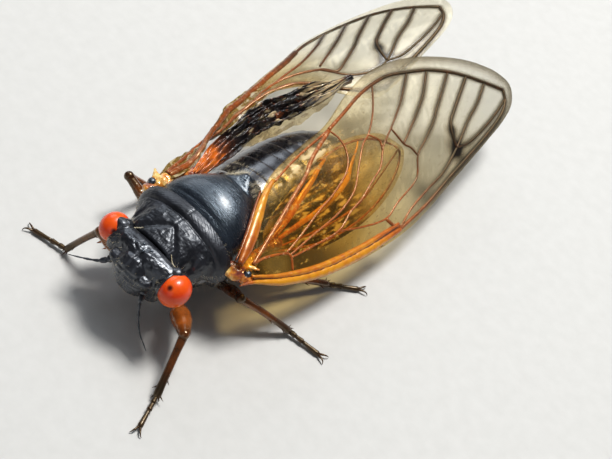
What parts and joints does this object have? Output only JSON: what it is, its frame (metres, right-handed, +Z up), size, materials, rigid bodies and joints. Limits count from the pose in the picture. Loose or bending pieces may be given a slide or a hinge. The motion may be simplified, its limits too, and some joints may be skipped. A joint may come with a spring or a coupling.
{
  "type": "periodical cicada",
  "caption": "Life-size periodical cicada standing on six legs, black body, red eyes, veined amber wings half folded back, the right wings crumpled.",
  "frame": {"origin": "on the floor, under the middle of the bounding box", "axes": "the head faces -Y, the insect's left side is +X, +Z is up"},
  "size_m": [0.025, 0.0499, 0.0091],
  "materials": {
    "black_cuticle": "glossy, finely wrinkled",
    "red_eye": "glossy",
    "brown_leg": "satin",
    "wing_membrane": "clear amber film with orange veins",
    "crumpled_wing": "folded film"
  },
  "bodies": {
    "root": {"head": "black_cuticle", "eye_left": "red_eye", "eye_right": "red_eye", "antenna_left": "black_cuticle", "antenna_right": "black_cuticle", "beak": "brown_leg", "pronotum": "black_cuticle", "mesonotum": "black_cuticle", "thorax": "black_cuticle", "abdomen": "black_cuticle", "abdomen_tip": "black_cuticle", "leg_front_left_femur": "brown_leg", "leg_front_left_tibia": "brown_leg", "leg_front_left_tarsus": "black_cuticle", "leg_front_right_femur": "brown_leg", "leg_front_right_tibia": "brown_leg", "leg_front_right_tarsus": "black_cuticle", "leg_middle_left_femur": "brown_leg", "leg_middle_left_tibia": "brown_leg", "leg_middle_left_tarsus": "black_cuticle", "leg_middle_right_femur": "brown_leg", "leg_middle_right_tibia": "brown_leg", "leg_middle_right_tarsus": "black_cuticle", "leg_hind_left_femur": "brown_leg", "leg_hind_left_tibia": "brown_leg", "leg_hind_left_tarsus": "black_cuticle", "leg_hind_right_femur": "brown_leg", "leg_hind_right_tibia": "brown_leg", "leg_hind_right_tarsus": "black_cuticle", "forewing_left": "wing_membrane", "forewing_right": "wing_membrane", "hindwing_left": "wing_membrane", "hindwing_right": "crumpled_wing"}
  },
  "joints": []
}
